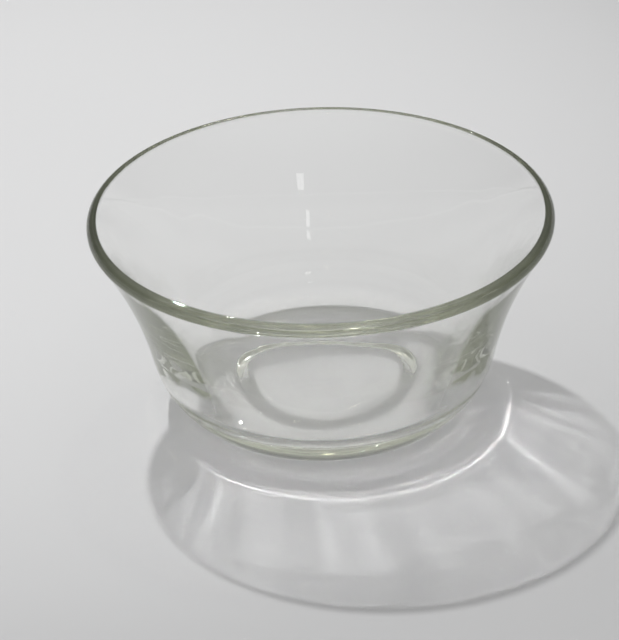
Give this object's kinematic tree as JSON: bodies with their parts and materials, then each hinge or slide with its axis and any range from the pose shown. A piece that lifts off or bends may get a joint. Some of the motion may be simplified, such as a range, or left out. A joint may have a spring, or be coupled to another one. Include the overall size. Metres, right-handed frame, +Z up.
{
  "type": "prep bowl",
  "caption": "Round clear pressed-glass prep bowl with a flared wall, rounded lip, rounded heel and a recessed foot ring.",
  "frame": {"origin": "centre of the foot ring, on the table surface", "axes": "+Z up along the bowl's axis of revolution; X and Y are free, with the picture taken from -Y"},
  "size_m": [0.12, 0.12, 0.053],
  "materials": {
    "clear_glass": "clear pressed glass, fire polished, faint green tint in the thick edges"
  },
  "bodies": {
    "root": {"rim_lip": "clear_glass", "flared_wall": "clear_glass", "lower_wall": "clear_glass", "heel": "clear_glass", "floor_disc": "clear_glass", "foot_ring": "clear_glass"}
  },
  "joints": []
}
